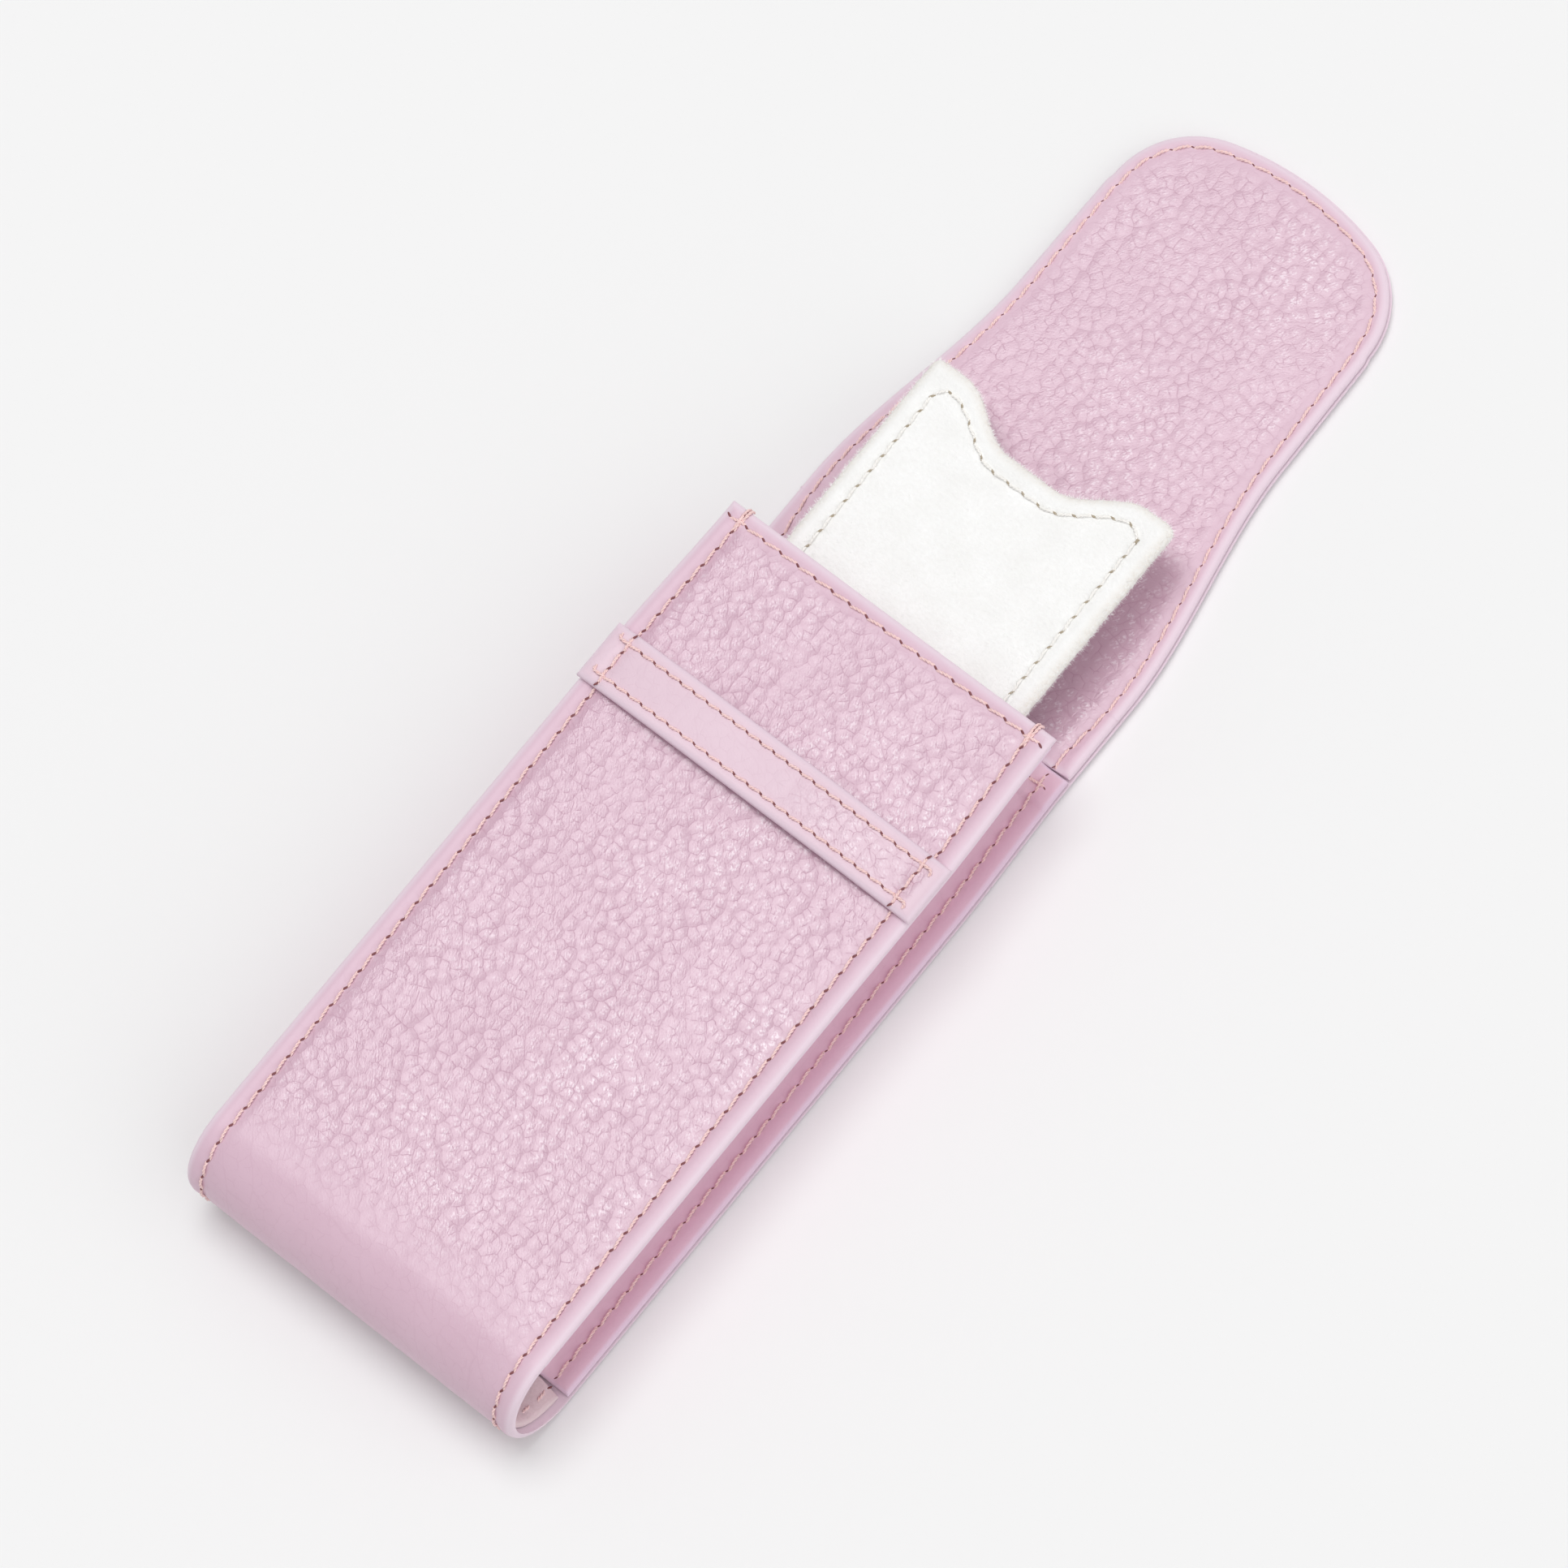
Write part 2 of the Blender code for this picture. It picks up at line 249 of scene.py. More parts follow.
def give_thickness(bm, thickness, long_underside):
    """Closes the sheet downwards. A long underside has one face from side to side in each row."""
    grain = bm.verts.layers.float["grain"]
    border = bm.verts.layers.float["border"]
    row = bm.verts.layers.int["row"]
    if long_underside:
        last_row = max(vert[row] for vert in bm.verts)
        made = bmesh.ops.extrude_edge_only(bm, edges=open_edges(bm))["geom"]
    else:
        made = bmesh.ops.extrude_face_region(bm, geom=bm.faces[:])["geom"]
    for vert in made:
        if isinstance(vert, bmesh.types.BMVert):
            vert.co.z = -at(thickness, vert.co.x, vert.co.y)
            vert[grain] = 0
            vert[border] = 1
    if long_underside:
        sides = [
            edge for edge in open_edges(bm) if all(0 < vert[row] < last_row for vert in edge.verts)
        ]
        bmesh.ops.bridge_loops(bm, edges=sides)
        bmesh.ops.holes_fill(bm, edges=open_edges(bm), sides=0)


def put(name, data):
    made = bpy.data.objects.new(name, data)
    bpy.context.collection.objects.link(made)
    return made


def put_mesh(name, bm, material):
    mesh = bpy.data.meshes.new(name)
    bm.to_mesh(mesh)
    bm.free()
    mesh.materials.append(material)
    return put(name, mesh)


def add(tree, kind, inputs, output=0, **settings):
    """Adds a node with these inputs, values or links, and options, and returns its output."""
    made = tree.nodes.new(kind)
    for option, value in settings.items():
        setattr(made, option, value)
    feed(made, inputs)
    return made.outputs[output]


def linked(value):
    return isinstance(value, bpy.types.NodeSocket)


def feed(node, inputs):
    for socket, value in inputs.items():
        if linked(value):
            node.id_data.links.new(value, node.inputs[socket])
        else:
            node.inputs[socket].default_value = value


def cells(place, size, randomness=1.0, feature="DISTANCE_TO_EDGE"):
    """How far each point lies inside its cell or from its middle, in shares of the cell size."""
    return add(
        place.id_data, "ShaderNodeTexVoronoi",
        {"Vector": place, "Scale": 1 / size, "Randomness": randomness}, "Distance",
        feature=feature, voronoi_dimensions="2D"
    )


def mottle(place, size, detail=2, roughness=0.5, output=0):
    """Smooth noise of this size."""
    inputs = {"Vector": place, "Scale": 1 / size, "Detail": detail, "Roughness": roughness}
    return add(place.id_data, "ShaderNodeTexNoise", inputs, output)


def ramp(value, start, end, low=0, high=1, smoothed=False):
    return add(
        value.id_data, "ShaderNodeMapRange",
        {"Value": value, "From Min": start, "From Max": end, "To Min": low, "To Max": high},
        interpolation_type="SMOOTHSTEP" if smoothed else "LINEAR"
    )


def combine(operation, total, *others):
    """Takes one value after another into the total."""
    for other in others:
        tree = (total if linked(total) else other).id_data
        total = add(tree, "ShaderNodeMath", {0: total, 1: other}, operation=operation)
    return total


times = functools.partial(combine, "MULTIPLY")
plus = functools.partial(combine, "ADD")
less = functools.partial(combine, "SUBTRACT")


def stretched(place, turn_deg, ratio):
    """The same place on a sheet that is turned and drawn out."""
    return add(
        place.id_data, "ShaderNodeMapping",
        {"Vector": place, "Rotation": (0, 0, math.radians(turn_deg)), "Scale": (1, ratio, 1)},
        vector_type="TEXTURE"
    )


def mix(share, first, second):
    """Blends two colours, each linked or given as red, green and blue."""
    inputs = {"Factor": share}
    for socket, colour in ((6, first), (7, second)):
        inputs[socket] = colour if linked(colour) else (*colour, 1)
    return add(share.id_data, "ShaderNodeMix", inputs, 2, data_type="RGBA")


pebble_size = 0.00195
pebble_spread = 0.85
pebble_fall = 1.3
crinkle_size = 0.00030
crinkle_stretch = 1.8
pore_size = 0.00025
wander_size = 0.0030
wander_reach = 0.0012
patch_size = 0.010
break_size = 0.0017
wrinkle_across = 0.0042
wrinkle_along = 0.0130
wrinkle_turn_deg = -37
tint_size = 0.009
# How far painted shade darkens the crease lines and the dips between the pebbles.
crease_shade_tone = 0.40
dip_shade_tone = 0.05
# Grained parts sit darker than smooth ones, which stay paler as a painted sheen.
painted_sheen_grain_tone = 0.55
# The painted highlight: the size, stretch and field of its flecks, and its pale colour.
highlight_fleck_size = 0.00037
highlight_fleck_stretch = 1.7
highlight_field_size = 0.030
painted_highlight_colour = (0.90, 0.81, 0.87)
dip_gloss_loss = 0.12
border_gloss_loss = 0.30
line_relief = 0.12
pore_relief = 0.05
grain_depth = 0.00016
emboss_depth = grain_depth * 0.34


def pebble_grain(flat, turn_deg=wrinkle_turn_deg):
    """The embossed height, the thin crease lines, and the distance from a pebble's middle. It is
    built the same way in a material and, without the long wrinkles, in the mesh's modifier."""
    tree = flat.id_data
    wander = {0: mottle(flat, wander_size, 3, output="Color"), 1: (0.5,) * 3}
    shift = {0: add(tree, "ShaderNodeVectorMath", wander, operation="SUBTRACT"), 2: flat}
    shift[1] = (wander_reach,) * 3
    moved = add(tree, "ShaderNodeVectorMath", shift, operation="MULTIPLY_ADD")
    inside = cells(moved, pebble_size, pebble_spread)
    centre = cells(moved, pebble_size, pebble_spread, "F1")
    patch = mottle(flat, patch_size, 1)
    dome = less(1.0, times(combine("POWER", centre, 2.0), pebble_fall))
    broken = ramp(mottle(flat, break_size, 1), 0.42, 0.58, smoothed=True)
    crease = ramp(inside, 0, 0.12, 0.14, 0, smoothed=True)
    full = times(combine("MAXIMUM", dome, 0.0), less(1.0, times(crease, broken)))
    bold = ramp(patch, 0.36, 0.60, 0.45, 0.88, smoothed=True)
    height = less(1.0, times(less(1.0, full), bold))
    line = times(ramp(inside, 0, 0.06, 1, 0, smoothed=True), broken)
    if tree.bl_idname == "ShaderNodeTree":
        turned = stretched(moved, turn_deg, wrinkle_along / wrinkle_across)
        long_line = ramp(cells(turned, wrinkle_across), 0, 0.04, 1, 0, smoothed=True)
        shown = ramp(patch, 0.44, 0.56, 0.75, 0.10, smoothed=True)
        line = combine("MAXIMUM", line, times(long_line, shown))
    return height, line, centre


def finished(piece):
    """The piece's mesh with its curve's body or its modifier's work in it."""
    graph = bpy.context.evaluated_depsgraph_get()
    return bpy.data.meshes.new_from_object(piece.evaluated_get(graph))


def emboss(piece):
    """Presses the pebble grain into the mesh itself, as deep as its grain attribute says."""
    tree = bpy.data.node_groups.new(piece.name + "_emboss", "GeometryNodeTree")
    for in_out in ("INPUT", "OUTPUT"):
        tree.interface.new_socket("Geometry", in_out=in_out, socket_type="NodeSocketGeometry")
    start = add(tree, "NodeGroupInput", {})
    flat = add(tree, "GeometryNodeInputNamedAttribute", {"Name": "flat"}, data_type="FLOAT_VECTOR")
    grain = add(tree, "GeometryNodeInputNamedAttribute", {"Name": "grain"}, data_type="FLOAT")
    height, _line, _centre = pebble_grain(flat)
    rise = times(less(height, 1.0), grain, emboss_depth)
    normal = add(tree, "GeometryNodeInputNormal", {})
    offset = add(tree, "ShaderNodeVectorMath", {0: normal, "Scale": rise}, operation="SCALE")
    moved = add(tree, "GeometryNodeSetPosition", {"Geometry": start, "Offset": offset})
    feed(tree.nodes.new("NodeGroupOutput"), {0: moved})
    piece.modifiers.new("emboss", "NODES").node_group = tree
    pressed = finished(piece)
    piece.modifiers.clear()
    piece.data = pressed


def make_sheet(
    name, cut, seams, bend, material, thickness=leather_thickness, long_underside=False,
    embossed=True, pitch=grid_pitch, **surface
):
    """Cuts a sheet, works and closes it, bends it into place and embosses it. Each point keeps its
    flat place as an attribute, so that the grain follows the leather round its bends."""
    bm = cut_out(*cut, pitch)
    work_surface(bm, seams, **surface)
    give_thickness(bm, thickness, long_underside)
    flat = bm.verts.layers.float_vector.new("flat")
    for vert in bm.verts:
        vert[flat] = vert.co
        vert.co = bend(*vert.co)
    bmesh.ops.recalc_face_normals(bm, faces=bm.faces)
    made = put_mesh(name, bm, material)
    made.data.shade_smooth()
    made.data.set_sharp_from_angle(angle=math.radians(sharp_angle_deg))
    if embossed:
        emboss(made)
    return made


def new_material(name):
    made = bpy.data.materials.new(name)
    made.use_nodes = True
    return made, made.node_tree, made.node_tree.nodes["Principled BSDF"]


def attribute(tree, name, output="Fac"):
    return add(tree, "ShaderNodeAttribute", {}, output, attribute_name=name)


def leather(name, top, crease, edge, bump_share, gloss=0.16, turn_deg=wrinkle_turn_deg):
    """Dyed leather, glossier on the pebbles. Its second colour is the darker one that the painted shade in
    the creases and dips, a random tint and the grained parts mix towards, so smooth parts stay paler as a
    painted sheen.
    Painted highlight flecks on the pebble tops grow to the right. The burnished edge's colour is partly its
    own paint and partly a painted highlight along the rolled edge."""
    made, tree, shader = new_material(name)
    flat = attribute(tree, "flat", "Vector")
    grain = attribute(tree, "grain")
    height, line, centre = pebble_grain(flat, turn_deg)
    dip = times(less(1.0, height), grain)
    shown_line = times(line, ramp(grain, 0.1, 0.8, 0.12, 1))
    tint = ramp(mottle(flat, tint_size, 3), 0.3, 0.7, 0, 0.10)
    # Painted shade in the crease lines and the dips, plus a random tint, mixed towards the darker colour.
    crease_shade_and_tint = plus(times(shown_line, crease_shade_tone), tint)
    shade_sheen_and_tint = plus(crease_shade_and_tint, plus(times(dip, dip_shade_tone), times(grain, painted_sheen_grain_tone)))
    # Painted highlight: pale flecks on the pebble tops, in a random field that grows to the right, stand in
    # for the glint's highlights.
    highlight_fleck = ramp(mottle(stretched(flat, turn_deg, highlight_fleck_stretch), highlight_fleck_size, 1), 0.47, 0.60)
    highlight_on_tops = ramp(centre, 0.20, 0.42, 1, 0, smoothed=True)
    highlight_field = ramp(mottle(flat, highlight_field_size, 1), 0.36, 0.60, 0.15, 1)
    across = add(tree, "ShaderNodeSeparateXYZ", {0: flat})
    highlight_rise_to_right = ramp(across, -body_half_width, body_half_width, 0.25, 1)
    painted_highlight = times(highlight_fleck, highlight_on_tops, highlight_field, highlight_rise_to_right, ramp(grain, 0.3, 1, 0, 0.75))
    dye_shade_and_highlight = mix(painted_highlight, mix(shade_sheen_and_tint, top, crease), painted_highlight_colour)
    # Over the rolled edge the colour is partly the edge's own paint and partly a painted highlight.
    edge_paint_and_highlight = ramp(attribute(tree, "border"), 0.05, 0.7)
    dull = ramp(dip, 0, 1, gloss, gloss + dip_gloss_loss)
    crinkle = mottle(stretched(flat, turn_deg, crinkle_stretch), crinkle_size)
    crinkle = times(crinkle, ramp(grain, 0, 0.8, 0.15, 0.70))
    fine = plus(crinkle, times(mottle(flat, pore_size), pore_relief))
    relief = less(fine, plus(dip, times(shown_line, line_relief)))
    bump = {"Height": relief, "Distance": grain_depth * bump_share}
    feed(shader, {"Base Color": mix(edge_paint_and_highlight, dye_shade_and_highlight, edge), "Normal": add(tree, "ShaderNodeBump", bump)})
    feed(shader, {"Roughness": plus(dull, ramp(grain, 0.1, 0.95, border_gloss_loss, 0))})
    return made


pink_leather = leather(
    "pink_pebbled_leather", (0.725, 0.515, 0.617), (0.535, 0.318, 0.414), (0.80, 0.645, 0.735), 0.36
)
flap_tongue_half_width = 0.0272
flap_tip_half_width = 0.0265
flap_straight_y = mouth_y + 0.0140
flap_waist_y = mouth_y + 0.0600
flap_tip_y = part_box("flap_tongue_outer")[1].y


def half_width_at(y):
    """Half the outer leather's width, which narrows to the mouth and to the flap's tip."""
    if y < mouth_y:
        share = smooth((mouth_y - y) / mouth_taper_length)
        return between(mouth_half_width, body_half_width, share)
    if y > flap_waist_y:
        share = (y - flap_waist_y) / (flap_tip_y - flap_waist_y)
        return between(flap_tongue_half_width, flap_tip_half_width, share)
    share = smooth((y - flap_straight_y) / (flap_waist_y - flap_straight_y))
    return between(mouth_half_width, flap_tongue_half_width, share)


def seam_inset_at(y):
    """The side seam lies deeper on the body than on the flap."""
    share = smooth((y - mouth_y) / seam_shift_length)
    return between(side_seam_inset, flap_seam_inset, share)


wrap_path = [(wrap_high.y, body_depth)]
wrap_path += arc((bend_y, bend_radius), bend_radius, 90, 270, bend_steps)
wrap_path += [(mouth_y + split_reach, 0)]
wrap_bend, wrap_place, wrap_length = lengthways(wrap_path, -1)
front_length = wrap_high.y - bend_y
bend_length = math.pi * bend_radius
bend_grain_share = 0.34
grain_into_bend = (0.014, 0.020)
grain_out_of_bend = 0.010


def wrap_outline(across, along):
    s = wrap_length * along
    return across * half_width_at(wrap_place(s, 0).x), s


def wrap_grain(_x, s):
    """The grain is stretched flat round the bottom bend."""
    before, fade = grain_into_bend
    into_bend = smooth((s - front_length + before) / fade)
    out_of_bend = smooth((s - front_length - bend_length) / grain_out_of_bend)
    return 1 - (1 - bend_grain_share) * into_bend * (1 - out_of_bend)


def side_seams(place, start, end, steps):
    """The lines of stitching along both sides of a leather, between two places on it."""
    line = []
    for s in spaced(start, end, steps):
        y = place(s, 0).x
        line.append((half_width_at(y) - seam_inset_at(y), s))
    return [[(side * x, s) for x, s in line] for side in (-1, 1)]


seam_start = 0.0009
seam_steps = round((wrap_length - seam_start) / 0.002)
wrap_side_seams = side_seams(wrap_place, seam_start, wrap_length, seam_steps)
mouth_seam_half = mouth_half_width - 0.0012
mouth_seam = [(-mouth_seam_half, mouth_seam_inset), (mouth_seam_half, mouth_seam_inset)]
outer_leather = make_sheet(
    "outer_leather", (2 * body_half_width, wrap_length, wrap_outline),
    wrap_side_seams + [mouth_seam], wrap_bend, pink_leather, split_at=wrap_length,
    grain_share=wrap_grain, long_underside=True
)
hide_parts("outer_wrap", "flap_bridge_outer")
root_zone_length = 0.0040
root_zone = (root_fold, root_fold + Vector((0, root_zone_length, 0)))


def bend_at_root(piece):
    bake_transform(piece, "pouch", "flap_bridge", *root_zone)


bend_at_root(outer_leather)


# The salmon thread
# A two ply polyester thread. Each stitch lies from hole to hole and dives into both, so a row
# reads as short slanted cords with a hole between them, whose darkness is painted shade: a small dark lens
# sunk into the leather.
stitch_pitch = 0.0035
thread_ply_radius = 0.00017
ply_spread = 0.00014
ply_turns = 2.5
points_in_stitch = 13
thread_top = 0.00016
thread_dive = 0.0007
thread_flatness = 0.7
stitch_slant = 0.00022
hole_size = Vector((0.00062, 0.00020, 0.00016))
hole_sunk = 0.00008
hole_turn_deg = 24
tight_hole = 0.62


def flecked(name, colour, shade, size, detail, roughness, specular=0.5, fuzz=0):
    """Two shades in flecks of this size, with a fuzz of this height: twisted polyester, the
    shade inside a needle hole, or card."""
    made, tree, shader = new_material(name)
    lint = mottle(add(tree, "ShaderNodeTexCoord", {}, "Object"), size, detail)
    feed(shader, {"Base Color": mix(lint, colour, shade)})
    feed(shader, {"Roughness": roughness, "Specular IOR Level": specular})
    if fuzz:
        feed(shader, {"Normal": add(tree, "ShaderNodeBump", {"Height": lint, "Distance": fuzz})})
    return made


spun = {"size": 0.0004, "detail": 2, "roughness": 0.55, "fuzz": 0.00004}
punched = {"size": 0.0005, "detail": 1, "roughness": 1.0, "specular": 0.0}
salmon_thread = flecked("salmon_thread", (0.98, 0.77, 0.75), (0.88, 0.56, 0.55), **spun)
painted_needle_hole_shade = flecked("needle_hole_shade", (0.20, 0.08, 0.085), (0.30, 0.12, 0.1275), **punched)


def handedness(bend, x, s):
    """1 where the flat sheet's x and s run anticlockwise as seen from outside, and -1 elsewhere."""
    here = bend(x, s, 0)
    along_x = bend(x + ply_spread, s, 0) - here
    along_s = bend(x, s + ply_spread, 0) - here
    out = bend(x, s, ply_spread) - here
    return math.copysign(1, along_x.cross(along_s).dot(out))


def twist(curve, points, bend, turns):
    """Adds two plies that wind round each other along these points."""
    for ply in (0, 1):
        spline = curve.splines.new("POLY")
        spline.points.add(len(points) - 1)
        for step, point in enumerate(points):
            ahead = points[min(step + 1, len(points) - 1)] - points[max(step - 1, 0)]
            side = ahead.cross(Vector((0, 0, 1))).normalized()
            over = side.cross(ahead).normalized()
            angle = 2 * math.pi * (turns * step / (len(points) - 1) + ply / 2)
            wound = point + (side * math.cos(angle) + over * math.sin(angle)) * ply_spread
            spline.points[step].co = (*bend(*wound), 1)


def ride_on_pouch(piece):
    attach(piece, "pouch")


def sew(
    name, seams, bend, hold=ride_on_pouch, pitch=stitch_pitch, ground=0, loose=(), hole_share=1,
    thread=salmon_thread, painted_hole_shade=painted_needle_hole_shade
):
    """Sews along lines on the flat sheet, and bends the thread and the painted shade of its holes into place
    with it.
    Loose lines are laid down without holes."""
    curve = bpy.data.curves.new(name, "CURVE")
    curve.dimensions = "3D"
    curve.bevel_depth = thread_ply_radius
    curve.bevel_resolution = 0
    curve.use_fill_caps = True
    hole_shade_lenses = bmesh.new()
    for seam in seams:
        place, length = follow(seam, 1)
        count = max(round(length / pitch), 1)
        marks = spaced(0, length, count)
        hand = handedness(bend, *place(length / 2, 0))
        for start, end in zip(marks, marks[1:]):
            points = []
            for share in spaced(0, 1, points_in_stitch - 1):
                x, s = place(between(start, end, share), hand * stitch_slant * (2 * share - 1))
                dive = thread_dive * (1 - math.sin(math.pi * share) ** thread_flatness)
                points.append(Vector((x, s, at(ground, x, s) + thread_top - dive)))
            twist(curve, points, bend, ply_turns)
        # Each hole is a small dark lens sunk into the surface: painted shade inside the needle hole.
        for mark in marks:
            middle = place(mark, 0)
            ahead = place(min(mark + marks[1] / 2, length), 0)
            run = ahead - place(max(mark - marks[1] / 2, 0), 0)
            turned = math.atan2(run.y, run.x) - hand * math.radians(hole_turn_deg)
            matrix = Matrix.Translation((*middle, at(ground, *middle) - hole_sunk))
            matrix = matrix @ Matrix.Rotation(turned, 4, "Z")
            matrix = matrix @ Matrix.Diagonal((*(hole_size * hole_share), 1))
            bmesh.ops.create_uvsphere(hole_shade_lenses, u_segments=8, v_segments=4, radius=1, matrix=matrix)
    for line in loose:
        twist(curve, line, bend, (line[-1] - line[0]).length / pitch * ply_turns)
    rope = put(name, curve)
    mesh = finished(rope)
    bpy.data.objects.remove(rope)
    mesh.materials.append(thread)
    stitches = put(name, mesh)
    for vert in hole_shade_lenses.verts:
        vert.co = bend(*vert.co)
    bmesh.ops.recalc_face_normals(hole_shade_lenses, faces=hole_shade_lenses.faces)
    for made in (stitches, put_mesh(name + "_painted_hole_shades", hole_shade_lenses, painted_hole_shade)):
        made.data.shade_smooth()
        hold(made)


def curl(start, first, second, end):
    """The points of a loose bit of thread over the flat sheet."""
    return geometry.interpolate_bezier(start, first, second, end, points_in_stitch + 2)


# Two loops of thread close each end of the mouth.
mouth_loop_ends = ((-0.00030, 0.0046), (0.00034, 0.0031))
mouth_loops = []
for side in (-1, 1):
    for offset, far in mouth_loop_ends:
        x = side * (mouth_half_width - side_seam_inset) + offset
        inside = Vector((x, -thread_ply_radius * 2, -leather_thickness))
        outside = Vector((x, -thread_ply_radius * 2, thread_top * 2))
        over = Vector((x, far * 0.4, thread_top * 2.2))
        end = Vector((x - offset * 0.6, far, -seam_groove_depth))
        mouth_loops.append(curl(inside, outside, over, end))

sew("outer_side_stitches", wrap_side_seams, wrap_bend, bend_at_root)
sew("mouth_stitches", [mouth_seam], wrap_bend, loose=mouth_loops)


# The outside of the flap
# Past the mouth the outer leather narrows in an S curve to a tongue with a rounded tip. Its
# grain side faces down here, and outwards when the pouch is closed.
flap_corner_radius = 0.0160
flap_crown_radius = 0.0560
flap_side_steps = 60
flap_arc_steps = 24
bulge_start_share = 0.45
flap_reach = flap_tip_y - mouth_y

# Half of its outline runs up its side to the middle of the corner, the rest from the crown's top
# out to the same point.
crown = (0, flap_reach - flap_crown_radius)
corner_x = flap_tip_half_width - flap_corner_radius
corner_rise = math.sqrt((flap_crown_radius - flap_corner_radius) ** 2 - corner_x**2)
corner = (corner_x, crown[1] + corner_rise)
meeting = math.degrees(math.atan2(corner_rise, corner_x))
flap_side = []
for reach in spaced(split_reach, corner[1], flap_side_steps)[:-1]:
    flap_side.append((half_width_at(mouth_y + reach), reach))
flap_side += arc(corner, flap_corner_radius, 0, meeting / 2, flap_arc_steps)
flap_top = arc(crown, flap_crown_radius, 90, meeting, flap_arc_steps)
flap_top += arc(corner, flap_corner_radius, meeting, meeting / 2, flap_arc_steps)[1:]
flap_side_place, flap_side_length = follow(flap_side, 1)
flap_top_place, flap_top_length = follow(flap_top, -1)


def tongue_outline(inset):
    """Rows run straight across at the split and bulge more and more towards the rounded tip."""

    def outline(across, along):
        edge = flap_side_place(flap_side_length * along, inset)
        tip = flap_top_place(flap_top_length * abs(across), inset)
        rim = flap_side_place(flap_side_length, inset)
        bulge = smooth((along - bulge_start_share) / (1 - bulge_start_share))
        x = edge.x * (abs(across) * (1 - bulge) + bulge * tip.x / rim.x)
        return math.copysign(x, across), edge.y + bulge * (tip.y - rim.y)

    return outline


# The stitching round the flap is one line from split to split.
right_seam = []
for distance in spaced(0, flap_side_length, flap_side_steps):
    y = mouth_y + flap_side_place(distance, 0).y
    right_seam.append(tuple(flap_side_place(distance, seam_inset_at(y))))
for distance in spaced(flap_top_length, 0, flap_side_steps)[1:]:
    right_seam.append(tuple(flap_top_place(distance, flap_seam_inset)))
flap_seam = right_seam + [(-x, y) for x, y in reversed(right_seam[:-1])]
flap_outer_bend = laid(mouth_y, 0, -1)
tongue_zone_half = Vector((0, 0.0022, 0))
tongue_zone = (tongue_fold - tongue_zone_half, tongue_fold + tongue_zone_half)


def bend_at_tongue(piece):
    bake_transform(piece, "flap_bridge", "flap_tongue", *tongue_zone)


flap_width = 2 * mouth_half_width
flap_length = flap_reach - split_reach
flap_outer = make_sheet(
    "flap_outer_leather", (flap_width, flap_length, tongue_outline(0)), [flap_seam],
    flap_outer_bend, pink_leather, split_at=split_reach, long_underside=True
)
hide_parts("flap_tongue_outer")
bend_at_tongue(flap_outer)
sew("flap_outer_stitches", [flap_seam], flap_outer_bend, bend_at_tongue, hole_share=tight_hole)


# The flap's facing
# The same leather lines the flap, grain side up, and ends inside the mouth on the back panel.
# It is glued down and sewn through with the outside.
facing_low, facing_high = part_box("mouth_facing")
facing_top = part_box("flap_tongue_facing")[1].z
facing_edge_inset = 0.0003
facing_step_y = mouth_y - 0.0014
facing_step_length = 0.0002
facing_slope = 0.0016
facing_thinning = 0.003
facing_grain_share = 0.9
inner_facing_grain_share = 0.5
inner_facing_thickness = facing_high.z - facing_low.z
facing_bend = laid(mouth_y, facing_top)
facing = make_sheet(
    "flap_facing", (flap_width, flap_length, tongue_outline(facing_edge_inset)), [flap_seam],
    facing_bend, pink_leather, split_at=split_reach, grain_share=facing_grain_share,
    long_underside=True
)
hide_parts("flap_tongue_facing")
bend_at_tongue(facing)
sew("flap_stitches", [flap_seam], facing_bend, bend_at_tongue, hole_share=tight_hole)

mouth_path = [(facing_low.y, facing_high.z), (mouth_y - facing_slope, facing_high.z)]
mouth_path += [(mouth_y, facing_top), (mouth_y + split_reach, facing_top)]
mouth_bend, mouth_place, mouth_length = lengthways(mouth_path, 1)


def mouth_outline(across, along):
    s = mouth_length * along
    y = mouth_place(s, 0).x
    share = smooth((y - facing_step_y) / facing_step_length)
    full = half_width_at(y) - facing_edge_inset
    return across * between(facing_high.x, full, share), s


def mouth_thickness(_x, s):
    share = smooth((mouth_place(s, 0).x - mouth_y + facing_thinning) / facing_thinning)
    return between(inner_facing_thickness, leather_thickness, share)


def mouth_grain(_x, s):
    return facing_grain_share if s > mouth_length - split_reach else inner_facing_grain_share


mouth_seam_start = mouth_length - split_reach - facing_slope * 0.6
mouth_seams = side_seams(mouth_place, mouth_seam_start, mouth_length, 8)
mouth_facing = make_sheet(
    "mouth_facing_leather", (flap_width, mouth_length, mouth_outline), mouth_seams,
    mouth_bend, pink_leather, mouth_thickness, split_at=mouth_length,
    grain_share=mouth_grain, long_underside=True
)
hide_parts("mouth_facing", "flap_bridge_facing")
bend_at_root(mouth_facing)
sew("mouth_facing_stitches", mouth_seams, mouth_bend, bend_at_root, hole_share=tight_hole)


# The gussets
# A strip of thinner, smoother leather closes each side. Its flanges are sewn to both panels, it
# folds inwards between them, and its top end is turned over into a stitched hem.
gusset_low, gusset_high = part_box("right_gusset")
gusset_thickness = 0.0011
gusset_flange_width = 0.0048
gusset_fold_depth = 0.0079
gusset_rounds = (0.0013, 0.0008, 0.0013)
gusset_hem_height = 0.0060
gusset_hem_rise = 0.0004
gusset_hem_seam_depth = 0.0031
gusset_wrinkle_height = 0.00030
gusset_wrinkle_across = 0.0024
gusset_wrinkle_along = 0.015
gusset_wrinkle_margins = (0.005, 0.0045)
gusset_wrinkle_fade = 0.004
gusset_edge_inset = 0.00025
gusset_grain_share = 0.22
gusset_roll = (0.0007, 0.0005)


